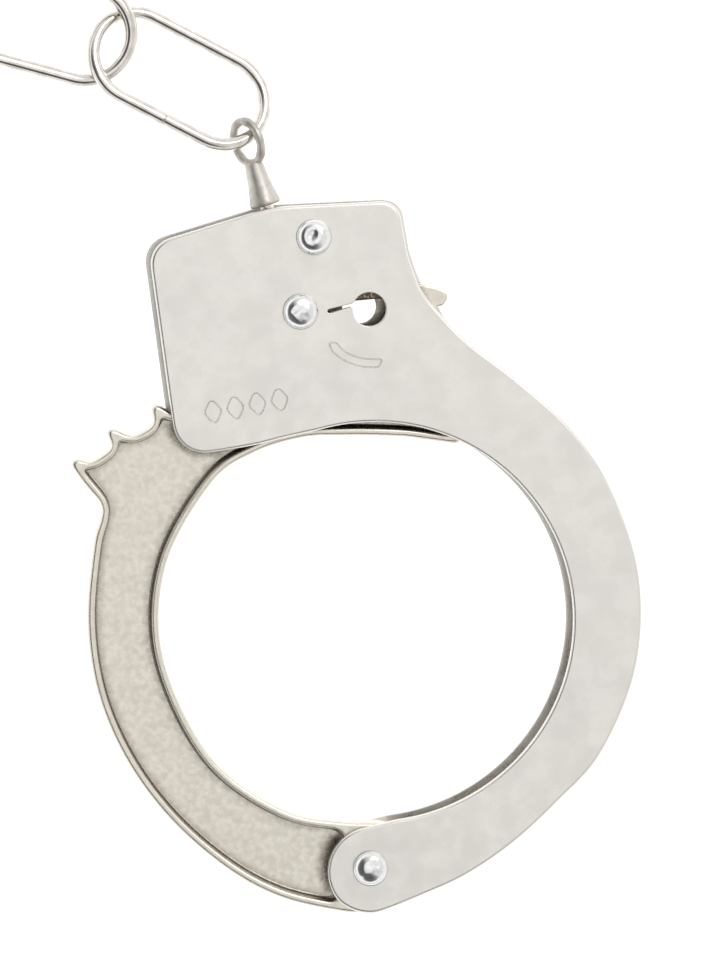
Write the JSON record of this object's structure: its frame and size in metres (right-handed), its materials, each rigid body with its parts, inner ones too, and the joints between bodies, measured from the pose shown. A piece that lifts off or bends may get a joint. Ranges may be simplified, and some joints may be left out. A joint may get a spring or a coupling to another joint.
{
  "type": "handcuffs",
  "caption": "Pair of flat-plate ratchet handcuffs joined by a wire-link chain with swivels; riveted lock plates, toothed swinging arms, sprung pawls with release tabs and keyholes.",
  "frame": {"origin": "under the centre of the middle chain link, at the height of the back rivet heads that the pair lies on", "axes": "+Y along the pair from cuff A towards cuff B, +Z out of the front plates, +X to the right"},
  "size_m": [0.1666, 0.2478, 0.0088],
  "materials": {
    "nickel_plate": "pressed steel sheet, nickel plated, satin to bright",
    "nickel_cast": "cast, nickel plated, mottled",
    "bright_rivet": "bright, hammered to a dome",
    "nickel_wire": "drawn wire, bright nickel",
    "spring_steel": "plain spring steel"
  },
  "bodies": {
    "frame_a": {"back_plate_a": "nickel_plate", "front_plate_a": "nickel_plate", "pawl_spring_a": "spring_steel", "arm_rivet_a": "bright_rivet", "pawl_rivet_a": "bright_rivet", "top_rivet_a": "bright_rivet", "arm_bush_a": "nickel_cast", "pawl_bush_a": "nickel_cast", "swivel_block_a": "nickel_cast"},
    "arm_a": {"arm_a": "nickel_cast"},
    "pawl_a": {"pawl_a": "nickel_cast"},
    "swivel_a": {"swivel_a": "nickel_cast", "swivel_collar_a": "bright_rivet"},
    "link_1": {"link_1": "nickel_wire"},
    "link_2": {"link_2": "nickel_wire"},
    "link_3": {"link_3": "nickel_wire"},
    "swivel_b": {"swivel_b": "nickel_cast", "swivel_collar_b": "bright_rivet"},
    "frame_b": {"back_plate_b": "nickel_plate", "front_plate_b": "nickel_plate", "pawl_spring_b": "spring_steel", "arm_rivet_b": "bright_rivet", "pawl_rivet_b": "bright_rivet", "top_rivet_b": "bright_rivet", "arm_bush_b": "nickel_cast", "pawl_bush_b": "nickel_cast", "swivel_block_b": "nickel_cast"},
    "arm_b": {"arm_b": "nickel_cast"},
    "pawl_b": {"pawl_b": "nickel_cast"}
  },
  "joints": [
    {"name": "arm_a_hinge", "type": "hinge", "parent": "frame_a", "child": "arm_a", "pos_m": [0.04555, -0.11743, 0.0042], "axis": [0, 0, 1], "continuous": true},
    {"name": "pawl_a_hinge", "type": "hinge", "parent": "frame_a", "child": "pawl_a", "pos_m": [0.03573, -0.03983, 0.0042], "axis": [0, 0, 1], "range_deg": [-6, 1], "stiffness_Nm_per_rad": 0.02},
    {"name": "swivel_a_turn", "type": "hinge", "parent": "frame_a", "child": "swivel_a", "pos_m": [0.02861, -0.01671, 0.0042], "axis": [0.2809, -0.9597, 0], "continuous": true},
    {"name": "link_1_swing", "type": "hinge", "parent": "swivel_a", "child": "link_1", "pos_m": [0.02841, -0.01616, 0.00458], "axis": [0.7988, 0.4539, -0.3949], "range_deg": [-40, 40]},
    {"name": "link_2_swing", "type": "hinge", "parent": "link_1", "child": "link_2", "pos_m": [0.00771, -0.00249, 0.00563], "axis": [0, 0, 1], "range_deg": [-40, 30]},
    {"name": "link_3_swing", "type": "hinge", "parent": "link_2", "child": "link_3", "pos_m": [-0.00771, 0.00249, 0.00563], "axis": [0, 0, 1], "range_deg": [-30, 40]},
    {"name": "eye_b_swing", "type": "hinge", "parent": "link_3", "child": "swivel_b", "pos_m": [-0.02841, 0.01616, 0.00458], "axis": [-0.7988, -0.4539, -0.3949], "range_deg": [-40, 40]},
    {"name": "swivel_b_turn", "type": "hinge", "parent": "swivel_b", "child": "frame_b", "pos_m": [-0.02861, 0.01671, 0.0042], "axis": [0.2809, -0.9597, 0], "continuous": true},
    {"name": "arm_b_hinge", "type": "hinge", "parent": "frame_b", "child": "arm_b", "pos_m": [-0.04555, 0.11743, 0.0042], "axis": [0, 0, 1], "continuous": true},
    {"name": "pawl_b_hinge", "type": "hinge", "parent": "frame_b", "child": "pawl_b", "pos_m": [-0.03573, 0.03983, 0.0042], "axis": [0, 0, 1], "range_deg": [-6, 1], "stiffness_Nm_per_rad": 0.02}
  ]
}
